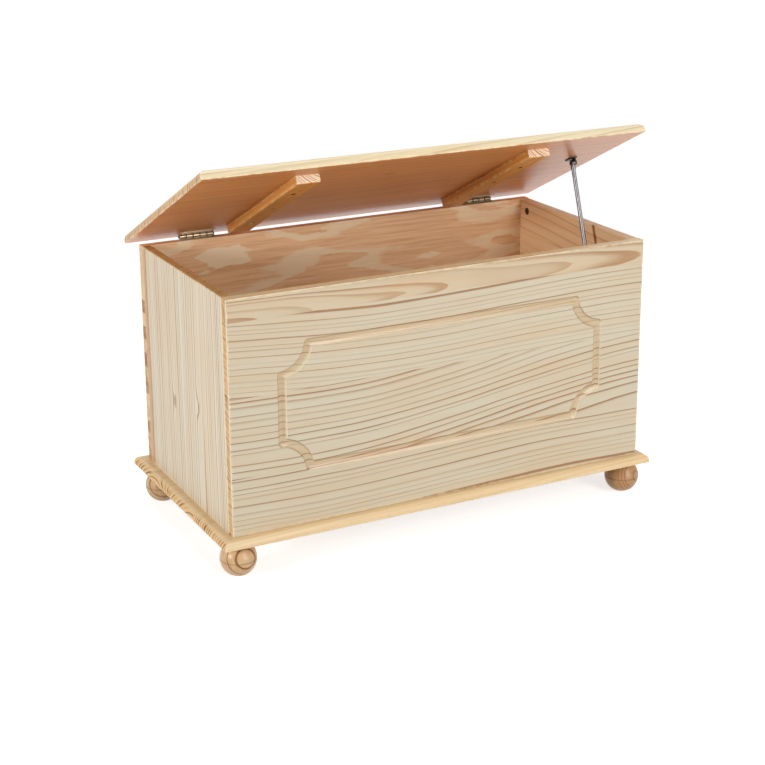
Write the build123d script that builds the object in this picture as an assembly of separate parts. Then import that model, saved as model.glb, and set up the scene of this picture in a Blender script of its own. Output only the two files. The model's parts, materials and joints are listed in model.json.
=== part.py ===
from build123d import *
import os
from math import asin, atan2, cos, degrees, hypot, radians, sin, sqrt

# Pine toy chest: four panels on a moulded base board with ball feet, and a lid on two
# butt hinges that a gas strut holds open. Millimetres, +Z up, the front faces -Y and
# the origin lies on the floor, midway along the base board. The lid stands open.

# Driving dimensions of the box
panel_thickness = 18.0
box_width = 848.0
box_depth = 425.0
box_height = 430.0
panel_edge_ease = 1.2
side_panel_top_radius = 2.5

# Base board
base_thickness = 17.0
base_side_overhang = 21.0
base_front_overhang = 17.0
base_back_overhang = 28.0
base_nose_radius = 12.0
base_lower_ease = 1.5

# Turned ball feet
foot_diameter = 66.0
foot_height = 62.0
foot_sole_diameter = 22.0
foot_side_inset = 38.0
foot_front_inset = 38.0
foot_back_inset = 52.0
foot_scribe_width = 1.4
foot_scribe_depth = 0.7

# Routed frame on the front panel
groove_outer_width = 667.0
groove_outer_height = 243.0
groove_scoop_radius = 52.0
groove_width = 17.0
groove_step = 0.7
groove_dish = 2.8
groove_centre_height = 219.0

# Lid and its battens
lid_thickness = 18.0
lid_side_overhang = 21.0
lid_front_overhang = 10.0
lid_back_overhang = 17.0
lid_nose_radius = 12.0
lid_lower_ease = 1.5
lid_open_angle = 26.0
lid_closed_gap = 0.3
batten_width = 45.0
batten_thickness = 15.0
batten_edge_radius = 3.0
batten_side_inset = 190.0
batten_back_gap = 12.0
batten_front_gap = 18.0

# Butt hinges
hinge_length = 70.0
hinge_side_inset = 116.0
hinge_leaf_width = 17.0
hinge_leaf_thickness = 1.2
hinge_knuckle_radius = 3.0
hinge_knuckle_count = 5
hinge_knuckle_ease = 0.5
hinge_pin_radius = 1.5
hinge_pin_head_radius = 2.2
hinge_pin_head_height = 0.8
hinge_swing_clearance = 0.3
hinge_end_clearance = 0.4
hinge_screw_count = 3
hinge_screw_pitch = 24.0

# Gas strut: the places of its two pivots, then its own sizes
strut_wall_standoff = 30.0
strut_lid_pivot_reach = 279.0
strut_lid_pivot_drop = 9.0
strut_foot_pivot_height = 167.0
strut_foot_pivot_setback = 30.0
strut_tube_radius = 9.0
strut_tube_wall = 1.2
strut_tube_roll = 2.5
strut_tube_start = 18.0
strut_tube_length = 205.0
strut_mouth_gap = 1.6
strut_rod_radius = 4.0
strut_rod_below_guide = 12.0
strut_guide_length = 12.0
strut_piston_length = 9.0
strut_rod_end_length = 14.0
strut_rod_collar_radius = 4.8
strut_lid_eye_radius = 5.5
strut_lid_eye_width = 7.0
strut_lid_pin_radius = 2.5
strut_lid_pin_head_radius = 4.2
strut_foot_eye_rim = 3.5
strut_foot_eye_width = 7.0
strut_foot_slot_slack = 0.6
strut_stem_radius = 3.0
strut_stud_radius = 3.0
strut_stud_shoulder_radius = 5.5
strut_stud_head_radius = 6.2
strut_head_thickness = 1.6

# Strut brackets
bracket_thickness = 2.0
bracket_corner_radius = 2.5
foot_bracket_height = 52.0
foot_bracket_width = 20.0
foot_bracket_corner_radius = 6.5
lid_bracket_length = 26.0
lid_bracket_foot_width = 14.0
lid_bracket_flange_gap = 0.4
lid_bracket_screw_margin = 1.2

# Knock-down fittings in the corners
cam_radius = 7.5
cam_length = 12.5
cam_edge_distance = 24.0
cam_end_inset = 22.0
cam_claw_width = 4.8
cam_pocket_radius = 4.3
cam_pocket_width = 7.8
cam_cross_length = 8.0
cam_cross_width = 1.4
cam_cross_depth = 1.6
cam_bolt_thread_radius = 2.5
cam_bolt_thread_length = 11.0
cam_bolt_shank_radius = 3.0
cam_bolt_neck_radius = 2.0
cam_bolt_head_radius = 3.4
cam_bolt_head_length = 4.0
cam_bolt_hole_radius = 4.0
dowel_radius = 4.0
dowel_length = 30.0
dowel_panel_depth = 11.0
dowel_end_inset = 75.0
dowel_rows = 3

# Screws and foot bolts
base_screw_radius = 2.0
base_screw_head_radius = 4.2
base_screw_length = 45.0
base_screw_side_inset = 124.0
base_screw_side_spread = 115.0
batten_screw_radius = 2.0
batten_screw_head_radius = 4.0
batten_screw_length = 22.0
batten_screw_recess = 5.0
batten_screw_count = 3
batten_screw_pitch = 105.0
hinge_screw_radius = 1.5
hinge_screw_head_radius = 2.8
hinge_screw_length = 14.0
bracket_screw_radius = 1.75
bracket_screw_head_radius = 3.2
bracket_screw_length = 14.0
foot_bolt_radius = 4.0
foot_bolt_length = 38.0
foot_bolt_base_depth = 12.0

# Clearances
fit_clearance = 0.1
running_clearance = 0.05
loose_clearance = 0.4

# Places worked out from the sizes above
base_width = box_width + 2 * base_side_overhang
base_depth = box_depth + base_front_overhang + base_back_overhang
base_bottom = foot_height
box_bottom = base_bottom + base_thickness
box_top = box_bottom + box_height
box_front = -base_depth / 2 + base_front_overhang
box_back = box_front + box_depth
box_left = -box_width / 2
box_right = box_width / 2
inner_front = box_front + panel_thickness
inner_back = box_back - panel_thickness
inner_right = box_right - panel_thickness

hinge_rise = hinge_knuckle_radius + hinge_swing_clearance
axis_y = box_back + hinge_knuckle_radius
axis_z = box_top + hinge_rise
lid_bottom = axis_z + hinge_rise
lid_front = box_front - lid_front_overhang
lid_back = box_back + lid_back_overhang
lid_width = box_width + 2 * lid_side_overhang
lid_hinge_axis = Axis((0, axis_y, axis_z), (1, 0, 0))

hinge_offset = box_right - hinge_side_inset
batten_offset = box_right - batten_side_inset
base_screw_offset = box_right - base_screw_side_inset

strut_x = inner_right - strut_wall_standoff
strut_foot_y = inner_front + strut_foot_pivot_setback
strut_foot_z = box_bottom + strut_foot_pivot_height


def block(x_range, y_range, z_range):
    """A box between two limits on each axis."""
    size = [high - low for low, high in (x_range, y_range, z_range)]
    middle = [(low + high) / 2 for low, high in (x_range, y_range, z_range)]
    return Pos(*middle) * Box(*size)


def bar(start, direction, radius, length):
    """A round bar that runs from a start point along a direction."""
    place = Plane(origin=start, z_dir=direction)
    return place * Cylinder(radius, length, align=(Align.CENTER, Align.CENTER, Align.MIN))


def revolved(start, direction, section):
    """A piece turned from its half section, whose heights run from the start point along a direction."""
    return Plane(origin=start, z_dir=direction) * revolve(Plane.XZ * section, Axis.Z)


def turned(start, direction, outline):
    """A turned piece with straight sides: (radius, height) points of its half section."""
    return revolved(start, direction, make_face(Polyline(*outline, close=True)))


def oval_plate(first, second, radius, thickness):
    """A plate square to X, round about two points that lie on its left face."""
    run = second - first
    left_face = Plane(origin=(first + second) / 2, x_dir=run, z_dir=(1, 0, 0))
    return extrude(left_face * SlotCenterToCenter(run.length, 2 * radius), amount=thickness)


def countersunk_screw(tip_direction, head_centre, radius, head_radius, length):
    """A flat-headed wood screw whose head lies level with the face it is driven into."""
    head_depth = head_radius - radius
    outline = [
        (0, 0),
        (head_radius, 0),
        (radius, head_depth),
        (radius, length - 2 * radius),
        (0, length),
    ]
    return turned(head_centre, tip_direction, outline)


def screw_hole(tip_direction, head_centre, radius, head_radius, length):
    """The hole that such a screw leaves, a little wider and deeper than the screw."""
    wide = radius + fit_clearance
    wide_head = head_radius + fit_clearance
    outline = [
        (0, -fit_clearance),
        (wide_head + fit_clearance, -fit_clearance),
        (wide, wide_head - wide),
        (wide, length + fit_clearance),
        (0, length + fit_clearance),
    ]
    return turned(head_centre, tip_direction, outline)


def opened(shape):
    """Swing a piece of the closed lid up to the angle at which it stands open."""
    return shape.rotate(lid_hinge_axis, -lid_open_angle)


def cut_all(body, tools):
    """Take every tool out of a body, one after the other."""
    for tool in tools:
        body = body - tool
    return body


def save(name, shape):
    """Write one named piece, or a group of like pieces, to its own file."""
    export_step(shape, os.path.join("parts", name + ".step"))


def save_group(name, pieces):
    """Write like pieces as separate solids of one group."""
    save(name, Compound([solid for piece in pieces for solid in piece.solids()]))


# Corner joints: where the cams, cam bolts and dowels stand
def corner_places():
    """Each corner of the box: side sign, y of the joint face, direction into the side panel."""
    for side in (-1, 1):
        yield side, inner_front, 1
        yield side, inner_back, -1


def cam_heights():
    return (box_bottom + cam_end_inset, box_top - cam_end_inset)


def dowel_heights():
    low = box_bottom + dowel_end_inset
    step = (box_height - 2 * dowel_end_inset) / (dowel_rows - 1)
    return [low + row * step for row in range(dowel_rows)]


def panel_mid_x(side):
    return side * (box_right - panel_thickness / 2)


def dowel(side, joint_y, inward, z, slack):
    start = (panel_mid_x(side), joint_y - inward * (dowel_panel_depth + slack), z)
    return bar(start, (0, inward, 0), dowel_radius + slack, dowel_length + 2 * slack)


def cam_bolt(side, joint_y, inward, z):
    tip = cam_edge_distance + cam_bolt_head_length / 2
    neck_start = cam_edge_distance - cam_radius - loose_clearance
    head_start = tip - cam_bolt_head_length
    outline = [
        (0, -cam_bolt_thread_length),
        (cam_bolt_thread_radius, -cam_bolt_thread_length),
        (cam_bolt_thread_radius, 0),
        (cam_bolt_shank_radius, 0),
        (cam_bolt_shank_radius, neck_start),
        (cam_bolt_neck_radius, neck_start),
        (cam_bolt_neck_radius, head_start),
        (cam_bolt_head_radius, head_start),
        (cam_bolt_head_radius, tip),
        (0, tip),
    ]
    return turned((panel_mid_x(side), joint_y, z), (0, inward, 0), outline)


def cam_bolt_holes(side, joint_y, inward, z):
    """The bolt's thread hole in the outer panel and its passage in the side panel's edge."""
    thread_start = (panel_mid_x(side), joint_y - inward * (cam_bolt_thread_length + fit_clearance), z)
    thread_hole = bar(
        thread_start,
        (0, inward, 0),
        cam_bolt_thread_radius + fit_clearance,
        cam_bolt_thread_length + fit_clearance,
    )
    passage = bar((panel_mid_x(side), joint_y, z), (0, inward, 0), cam_bolt_hole_radius, cam_edge_distance)
    return thread_hole, passage


def cam_centre(side, joint_y, inward, z):
    return (side * inner_right, joint_y + inward * cam_edge_distance, z)


def cam_pocket(side, joint_y, inward, z):
    start = cam_centre(side, joint_y, inward, z)
    return bar(start, (side, 0, 0), cam_radius + fit_clearance, cam_length + fit_clearance)


def cam_lock(side, joint_y, inward, z):
    """A cam that is turned from inside the box: it claws the head of the bolt and draws it in."""
    start = cam_centre(side, joint_y, inward, z)
    centre_x = panel_mid_x(side)
    body = bar(start, (side, 0, 0), cam_radius, cam_length)
    pocket_start = (centre_x - side * cam_pocket_width / 2, start[1], z)
    pocket = bar(pocket_start, (side, 0, 0), cam_pocket_radius, cam_pocket_width)
    claw_x = (centre_x - cam_claw_width / 2, centre_x + cam_claw_width / 2)
    reach = cam_radius + loose_clearance
    toward_bolt = sorted((start[1], start[1] - inward * reach))
    claw = block(claw_x, toward_bolt, (z - cam_claw_width / 2, z + reach))
    inner_x = sorted((start[0] - side * fit_clearance, start[0] + side * cam_cross_depth))
    arms = []
    for length, height in ((cam_cross_length, cam_cross_width), (cam_cross_width, cam_cross_length)):
        y_range = (start[1] - length / 2, start[1] + length / 2)
        arms.append(block(inner_x, y_range, (z - height / 2, z + height / 2)))
    return cut_all(body, [pocket, claw, *arms])


# Screws that hold the base board to the panels, driven up from below
def base_screw_places():
    for y in (box_front + panel_thickness / 2, box_back - panel_thickness / 2):
        for x in (-base_screw_offset, 0, base_screw_offset):
            yield x, y
    for side in (-1, 1):
        for y in (-base_screw_side_spread, base_screw_side_spread):
            yield panel_mid_x(side), (box_front + box_back) / 2 + y


def base_screw_shapes(make):
    shapes = []
    for x, y in base_screw_places():
        head = (x, y, base_bottom)
        shapes.append(make((0, 0, 1), head, base_screw_radius, base_screw_head_radius, base_screw_length))
    return shapes


# Feet
def foot_places():
    """Name and centre of each foot."""
    x = base_width / 2 - foot_side_inset
    front_y = -base_depth / 2 + foot_front_inset
    back_y = base_depth / 2 - foot_back_inset
    yield "foot_front_left", -x, front_y
    yield "foot_front_right", x, front_y
    yield "foot_back_left", -x, back_y
    yield "foot_back_right", x, back_y


def foot_bolt(x, y, slack):
    start = (x, y, base_bottom + foot_bolt_base_depth + slack)
    return bar(start, (0, 0, -1), foot_bolt_radius + slack, foot_bolt_length + 2 * slack)


def ball_foot(x, y):
    """A turned ball, cut flat under the base board and at its sole, with a scribed waist."""
    radius = foot_diameter / 2
    sole = foot_sole_diameter / 2
    waist = sqrt(radius**2 - sole**2)
    crown = sqrt(radius**2 - (foot_height - waist) ** 2)
    half = foot_scribe_width / 2
    lip = sqrt(radius**2 - half**2)
    middle = radius * cos(radians(45))
    outline = Polyline((crown, foot_height), (0, foot_height), (0, 0), (sole, 0))
    lower = ThreePointArc((sole, 0), (middle, waist - middle), (lip, waist - half))
    scribe = Polyline((lip, waist - half), (radius - foot_scribe_depth, waist), (lip, waist + half))
    upper = ThreePointArc((lip, waist + half), (middle, waist + middle), (crown, foot_height))
    ball = revolved((x, y, 0), (0, 0, 1), make_face([outline, lower, scribe, upper]))
    return ball - foot_bolt(x, y, fit_clearance)


# Base board and panels
def base_board():
    half_width = base_width / 2
    half_depth = base_depth / 2
    board = block((-half_width, half_width), (-half_depth, half_depth), (base_bottom, box_bottom))
    board = fillet(board.faces().sort_by(Axis.Z)[-1].edges(), base_nose_radius)
    board = fillet(board.faces().sort_by(Axis.Z)[0].edges(), base_lower_ease)
    bolts = [foot_bolt(x, y, fit_clearance) for _, x, y in foot_places()]
    return cut_all(board, bolts + base_screw_shapes(screw_hole))


def groove_section(half_only):
    """The router bit's outline: a small step at each edge, then a shallow dish. Depth runs along +Y."""
    half = groove_width / 2
    deepest = groove_step + groove_dish
    dish_radius = (half**2 + groove_dish**2) / (2 * groove_dish)
    quarter_way = dish_radius - groove_dish
    middle = half / 2
    middle_depth = groove_step + sqrt(dish_radius**2 - middle**2) - quarter_way
    above = -fit_clearance
    if half_only:
        edges = Polyline((0, deepest), (0, above), (half, above), (half, groove_step))
        dish = ThreePointArc((half, groove_step), (middle, middle_depth), (0, deepest))
    else:
        edges = Polyline((-half, groove_step), (-half, above), (half, above), (half, groove_step))
        dish = ThreePointArc((half, groove_step), (0, deepest), (-half, groove_step))
    return make_face([edges, dish])


def groove_run(start, end):
    """A straight cut of the router from one point of the front face to another."""
    (start_x, start_z), (end_x, end_z) = start, end
    length = hypot(end_x - start_x, end_z - start_z)
    along = Vector(end_x - start_x, 0, end_z - start_z) / length
    across = along.cross(Vector(0, 1, 0))
    section_plane = Plane(origin=(start_x, box_front, start_z), x_dir=across, z_dir=along)
    upright = section_plane.y_dir.Y > 0
    section = groove_section(half_only=False)
    if not upright:
        section = section.mirror(Plane.XZ)
    return extrude(section_plane * section, amount=length)


def groove_scoop(corner_x, corner_z, last_angle, sweep):
    """A cut round one corner of the frame, struck from that corner, back from its last angle."""
    radius = groove_scoop_radius + groove_width / 2
    section = Plane.XY * Pos(radius, 0) * groove_section(half_only=False)
    ring = revolve(section, Axis.Y, revolution_arc=sweep)
    return Pos(corner_x, box_front, corner_z) * Rot(0, -last_angle, 0) * ring


def groove_turn(x, z):
    """The round mark that the bit leaves where one cut meets the next."""
    return Pos(x, box_front, z) * revolve(groove_section(half_only=True), Axis.Y)


def groove_cuts():
    """The whole frame: four runs, four scooped corners and the eight turns between them."""
    middle_z = box_bottom + groove_centre_height
    half_width = groove_outer_width / 2
    half_height = groove_outer_height / 2
    line_x = half_width - groove_width / 2
    line_z = half_height - groove_width / 2
    radius = groove_scoop_radius + groove_width / 2
    reach = sqrt(radius**2 - (groove_width / 2) ** 2)
    edge_angle = degrees(asin(groove_width / 2 / radius))
    sweep = 90 - 2 * edge_angle
    turn_x = half_width - reach
    turn_z = half_height - reach
    cuts = []
    for sign in (-1, 1):
        cuts.append(groove_run((sign * line_x, middle_z - turn_z), (sign * line_x, middle_z + turn_z)))
        cuts.append(groove_run((-turn_x, middle_z + sign * line_z), (turn_x, middle_z + sign * line_z)))
    quarter_ends = {(1, 1): 270, (-1, 1): 360, (-1, -1): 90, (1, -1): 180}
    for (side, level), quarter_end in quarter_ends.items():
        corner_z = middle_z + level * half_height
        cuts.append(groove_scoop(side * half_width, corner_z, quarter_end - edge_angle, sweep))
        cuts.append(groove_turn(side * line_x, middle_z + level * turn_z))
        cuts.append(groove_turn(side * turn_x, middle_z + level * line_z))
    return cuts


def wide_panel(y_range, joint_y, inward, ease_face):
    """A panel across the whole width, which covers the edges of the two side panels."""
    panel = block((box_left, box_right), y_range, (box_bottom, box_top))
    outer = panel.faces().sort_by(Axis.Y)[ease_face].edges()
    panel = fillet(outer, panel_edge_ease)
    tools = []
    for side in (-1, 1):
        tools += [dowel(side, joint_y, inward, z, fit_clearance) for z in dowel_heights()]
        tools += [cam_bolt_holes(side, joint_y, inward, z)[0] for z in cam_heights()]
    return cut_all(panel, tools + base_screw_shapes(screw_hole))


def front_panel():
    panel = wide_panel((box_front, inner_front), inner_front, 1, 0)
    cutter = groove_cuts()
    return panel - cutter[0].fuse(*cutter[1:])


def back_panel():
    panel = wide_panel((inner_back, box_back), inner_back, -1, -1)
    return cut_all(panel, hinge_box_screw_shapes(screw_hole))


def side_panel(side):
    x_range = sorted((side * inner_right, side * box_right))
    panel = block(x_range, (inner_front, inner_back), (box_bottom, box_top))
    top_edges = panel.edges().filter_by(Axis.Y).group_by(Axis.Z)[-1]
    panel = fillet(top_edges, side_panel_top_radius)
    tools = []
    for corner_side, joint_y, inward in corner_places():
        if corner_side != side:
            continue
        tools += [dowel(side, joint_y, inward, z, fit_clearance) for z in dowel_heights()]
        for z in cam_heights():
            tools.append(cam_bolt_holes(side, joint_y, inward, z)[1])
            tools.append(cam_pocket(side, joint_y, inward, z))
    if side > 0:
        tools += foot_bracket_screw_shapes(screw_hole)
    return cut_all(panel, tools + base_screw_shapes(screw_hole))


# Hinges, drawn with the lid closed: the lid's leaf and screws are then swung open
def hinge_screw_xs(hinge_x):
    middle = (hinge_screw_count - 1) / 2
    return [hinge_x + (index - middle) * hinge_screw_pitch for index in range(hinge_screw_count)]


def hinge_screw_y():
    return axis_y - hinge_knuckle_radius - hinge_leaf_width / 2


def hinge_screws(hinge_x, make, direction, head_z):
    shapes = []
    for x in hinge_screw_xs(hinge_x):
        head = (x, hinge_screw_y(), head_z)
        shapes.append(
            make((0, 0, direction), head, hinge_screw_radius, hinge_screw_head_radius, hinge_screw_length)
        )
    return shapes


def hinge_box_screw_shapes(make):
    head_z = box_top + hinge_leaf_thickness
    left = hinge_screws(-hinge_offset, make, -1, head_z)
    return left + hinge_screws(hinge_offset, make, -1, head_z)


def hinge_lid_screw_shapes(make):
    head_z = lid_bottom - hinge_leaf_thickness
    left = hinge_screws(-hinge_offset, make, 1, head_z)
    return left + hinge_screws(hinge_offset, make, 1, head_z)


def hinge_leaf(hinge_x, on_lid):
    """A leaf with its own knuckles, notched where the other leaf's knuckles turn."""
    pitch = hinge_length / hinge_knuckle_count
    start_x = hinge_x - hinge_length / 2
    y_range = (axis_y - hinge_knuckle_radius - hinge_leaf_width, axis_y)
    if on_lid:
        z_range = (lid_bottom - hinge_leaf_thickness, lid_bottom)
    else:
        z_range = (box_top, box_top + hinge_leaf_thickness)
    leaf = block((start_x, start_x + hinge_length), y_range, z_range)
    notch_radius = hinge_knuckle_radius + hinge_swing_clearance
    for index in range(hinge_knuckle_count):
        own = (index % 2 == 1) == on_lid
        x = start_x + index * pitch
        if own:
            knuckle_start = (x + hinge_end_clearance / 2, axis_y, axis_z)
            knuckle = bar(knuckle_start, (1, 0, 0), hinge_knuckle_radius, pitch - hinge_end_clearance)
            leaf += chamfer(knuckle.edges().filter_by(GeomType.CIRCLE), hinge_knuckle_ease)
        else:
            x_range = (x - hinge_end_clearance / 2, x + pitch + hinge_end_clearance / 2)
            y_notch = (axis_y - notch_radius, axis_y + notch_radius)
            z_notch = (axis_z - 2 * notch_radius, axis_z + 2 * notch_radius)
            leaf -= block(x_range, y_notch, z_notch)
    bore_radius = hinge_pin_radius + running_clearance
    leaf -= bar((start_x - pitch, axis_y, axis_z), (1, 0, 0), bore_radius, hinge_length + 2 * pitch)
    direction = 1 if on_lid else -1
    head_z = z_range[0] if on_lid else z_range[1]
    return cut_all(leaf, hinge_screws(hinge_x, screw_hole, direction, head_z))


def hinge_pin(hinge_x):
    """The hinge's pin, with a small rivet head at each end."""
    start_x = hinge_x - hinge_length / 2 - hinge_end_clearance
    length = hinge_length + 2 * hinge_end_clearance
    outline = [
        (0, -hinge_pin_head_height),
        (hinge_pin_head_radius, -hinge_pin_head_height),
        (hinge_pin_head_radius, 0),
        (hinge_pin_radius, 0),
        (hinge_pin_radius, length),
        (hinge_pin_head_radius, length),
        (hinge_pin_head_radius, length + hinge_pin_head_height),
        (0, length + hinge_pin_head_height),
    ]
    return turned((start_x, axis_y, axis_z), (1, 0, 0), outline)


# Lid, drawn closed
def batten_y_range():
    return (inner_front + batten_front_gap, inner_back - batten_back_gap)


def batten_screw_shapes(make, batten_x):
    front, back = batten_y_range()
    middle = (batten_screw_count - 1) / 2
    head_z = lid_bottom - batten_thickness + batten_screw_recess
    shapes = []
    for index in range(batten_screw_count):
        y = (front + back) / 2 + (index - middle) * batten_screw_pitch
        head = (batten_x, y, head_z)
        shapes.append(
            make((0, 0, 1), head, batten_screw_radius, batten_screw_head_radius, batten_screw_length)
        )
    return shapes


def lid_panel():
    half_width = lid_width / 2
    panel = block((-half_width, half_width), (lid_front, lid_back), (lid_bottom, lid_bottom + lid_thickness))
    panel = fillet(panel.faces().sort_by(Axis.Z)[-1].edges(), lid_nose_radius)
    panel = fillet(panel.faces().sort_by(Axis.Z)[0].edges(), lid_lower_ease)
    tools = hinge_lid_screw_shapes(screw_hole) + lid_bracket_screw_shapes(screw_hole)
    for sign in (-1, 1):
        tools += batten_screw_shapes(screw_hole, sign * batten_offset)
    return cut_all(panel, tools)


def lid_batten(batten_x):
    x_range = (batten_x - batten_width / 2, batten_x + batten_width / 2)
    batten = block(x_range, batten_y_range(), (lid_bottom - batten_thickness, lid_bottom))
    lower_edges = batten.faces().sort_by(Axis.Z)[0].edges()
    batten = fillet(lower_edges, batten_edge_radius)
    tools = batten_screw_shapes(screw_hole, batten_x)
    for screw in batten_screw_shapes(countersunk_screw, batten_x):
        head = screw.bounding_box()
        entry = (batten_x, (head.min.Y + head.max.Y) / 2, lid_bottom - batten_thickness - fit_clearance)
        tools.append(bar(entry, (0, 0, 1), batten_screw_head_radius + loose_clearance, batten_screw_recess))
    return cut_all(batten, tools)


# Gas strut
strut_lid_pivot = opened(
    Vertex(strut_x, axis_y - strut_lid_pivot_reach, lid_bottom - strut_lid_pivot_drop)
)
strut_foot_pivot = Vector(strut_x, strut_foot_y, strut_foot_z)
strut_span = Vector(*strut_lid_pivot.center()) - strut_foot_pivot
strut_length = strut_span.length
strut_direction = strut_span / strut_length


def strut_point(distance):
    """A point on the strut's axis, measured up from its lower pivot."""
    return strut_foot_pivot + strut_direction * distance


# Motion of the strut, for its joints: the lid shuts until it rests on the front panel
def strut_motion():
    """Angle that shuts the lid, then the strut's turn and its stroke over that angle."""
    shut_drop = 2 * hinge_rise - lid_closed_gap
    shut_angle = lid_open_angle + degrees(asin(shut_drop / (axis_y - box_front)))
    shut_pivot = strut_lid_pivot.rotate(lid_hinge_axis, shut_angle).center()
    shut_span = Vector(*shut_pivot) - strut_foot_pivot
    lean_open = degrees(atan2(strut_span.Y, strut_span.Z))
    lean_shut = degrees(atan2(shut_span.Y, shut_span.Z))
    return shut_angle, lean_shut - lean_open, shut_span.length - strut_length


def strut_stud_wander():
    """Where the stud lies in the lower eye with the lid half shut, measured from its place at rest.

    The strut's turn and stroke follow the lid in fixed proportions, which hold it true to its
    stud with the lid open and shut. Half way between them the eye strays furthest."""
    shut_angle, turn, stroke = strut_motion()
    half_pivot = Vector(*strut_lid_pivot.rotate(lid_hinge_axis, shut_angle / 2).center())
    half_direction = strut_direction.rotate(Axis.X, -turn / 2)
    eye_centre = half_pivot - half_direction * (strut_length + stroke / 2)
    return (strut_foot_pivot - eye_centre).rotate(Axis.X, turn / 2)


strut_tube_top = strut_tube_start + strut_tube_length
strut_bore_radius = strut_tube_radius - strut_tube_wall
strut_guide_top = strut_tube_top - strut_tube_wall
strut_piston_top = strut_guide_top - strut_guide_length - strut_rod_below_guide
strut_rod_end_start = strut_length - strut_rod_end_length


def strut_tube():
    """The pressure tube: closed at its foot, its top rolled in over the rod's guide."""
    outer = strut_tube_radius
    flat = outer - strut_tube_roll
    mouth = strut_rod_radius + strut_mouth_gap
    top = strut_tube_length
    roll_middle = strut_tube_roll * (1 - cos(radians(45)))
    foot = Polyline((0, 0), (flat, 0))
    foot_roll = ThreePointArc((flat, 0), (outer - roll_middle, roll_middle), (outer, strut_tube_roll))
    side = Line((outer, strut_tube_roll), (outer, top - strut_tube_roll))
    top_roll = ThreePointArc(
        (outer, top - strut_tube_roll), (outer - roll_middle, top - roll_middle), (flat, top)
    )
    inside = Polyline(
        (flat, top),
        (mouth, top),
        (mouth, top - strut_tube_wall),
        (strut_bore_radius, top - strut_tube_wall),
        (strut_bore_radius, strut_tube_wall),
        (0, strut_tube_wall),
        (0, 0),
    )
    section = make_face([foot, foot_roll, side, top_roll, inside])
    return revolved(strut_point(strut_tube_start), strut_direction, section)


def strut_tube_eye():
    """The lower end fitting: a slotted tab on the bracket's stud, with a stem up to the tube."""
    half_width = Vector(strut_foot_eye_width / 2, 0, 0)
    slot_radius = strut_stud_radius + strut_foot_slot_slack
    slot_start = strut_foot_pivot - half_width
    slot_end = slot_start + strut_stud_wander()
    tab = oval_plate(slot_start, slot_end, slot_radius + strut_foot_eye_rim, strut_foot_eye_width)
    tab += bar(strut_foot_pivot, strut_direction, strut_stem_radius, strut_tube_start)
    cut_width = 2 * strut_foot_eye_width
    return tab - oval_plate(slot_start - half_width, slot_end - half_width, slot_radius, cut_width)


def strut_rod_guide():
    """The guide and seal that fills the top of the tube round the rod."""
    start = strut_point(strut_guide_top - strut_guide_length)
    guide = bar(start, strut_direction, strut_bore_radius - running_clearance, strut_guide_length)
    return guide - bar(start, strut_direction, strut_rod_radius + running_clearance, strut_guide_length)


def strut_piston():
    """The piston at the rod's inner end."""
    start = strut_point(strut_piston_top - strut_piston_length)
    return bar(start, strut_direction, strut_bore_radius - running_clearance, strut_piston_length)


def strut_rod():
    start = strut_point(strut_piston_top)
    return bar(start, strut_direction, strut_rod_radius, strut_rod_end_start - strut_piston_top)


def strut_rod_end():
    """The upper end fitting: a collar on the rod, and an eye on the pin of the lid's bracket."""
    eye_start = strut_point(strut_length) - Vector(strut_lid_eye_width / 2, 0, 0)
    eye = bar(eye_start, (1, 0, 0), strut_lid_eye_radius, strut_lid_eye_width)
    collar_start = strut_point(strut_rod_end_start)
    collar_length = strut_rod_end_length - strut_lid_eye_radius - 2 * lid_bracket_flange_gap
    collar = bar(collar_start, strut_direction, strut_rod_collar_radius, collar_length)
    neck = bar(collar_start, strut_direction, strut_lid_eye_width / 2, strut_rod_end_length)
    bore_start = eye_start - Vector(strut_lid_eye_width, 0, 0)
    bore = bar(bore_start, (1, 0, 0), strut_lid_pin_radius + fit_clearance, 3 * strut_lid_eye_width)
    return eye + collar + neck - bore


def strut_headed_pin(centre, radius, head_radius, start_offset, end_offset):
    """A pin along X through an eye, with a flat head at its far end."""
    head_sign = 1 if end_offset > start_offset else -1
    length = abs(end_offset - start_offset)
    outline = [
        (0, 0),
        (radius, 0),
        (radius, length),
        (head_radius, length),
        (head_radius, length + strut_head_thickness),
        (0, length + strut_head_thickness),
    ]
    return turned(centre + Vector(start_offset, 0, 0), (head_sign, 0, 0), outline)


def lid_bracket_flange_x():
    near = strut_x + strut_lid_eye_width / 2 + lid_bracket_flange_gap
    return (near, near + bracket_thickness)


def strut_lid_pin():
    """The pin of the upper eye, which turns in the flange of the lid's bracket."""
    start = -strut_lid_eye_width / 2
    far_side = lid_bracket_flange_x()[1] + lid_bracket_flange_gap - strut_x
    centre = strut_point(strut_length)
    return strut_headed_pin(centre, strut_lid_pin_radius, strut_lid_pin_head_radius, start, far_side)


def foot_bracket():
    """The bracket on the side panel: a plate with a shouldered stud for the lower eye."""
    half_width = foot_bracket_width / 2
    half_height = foot_bracket_height / 2
    plate_x = (inner_right - bracket_thickness, inner_right)
    y_range = (strut_foot_y - half_width, strut_foot_y + half_width)
    plate = block(plate_x, y_range, (strut_foot_z - half_height, strut_foot_z + half_height))
    plate = fillet(plate.edges().filter_by(Axis.X), foot_bracket_corner_radius)
    shoulder_length = plate_x[0] - strut_x - strut_foot_eye_width / 2 - loose_clearance
    plate += bar(
        (plate_x[0], strut_foot_y, strut_foot_z), (-1, 0, 0), strut_stud_shoulder_radius, shoulder_length
    )
    stud_start = plate_x[0] - strut_x
    stud_end = -strut_foot_eye_width / 2 - loose_clearance
    stud = strut_headed_pin(
        strut_foot_pivot, strut_stud_radius, strut_stud_head_radius, stud_start, stud_end
    )
    return cut_all(plate + stud, foot_bracket_screw_shapes(screw_hole))


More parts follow.
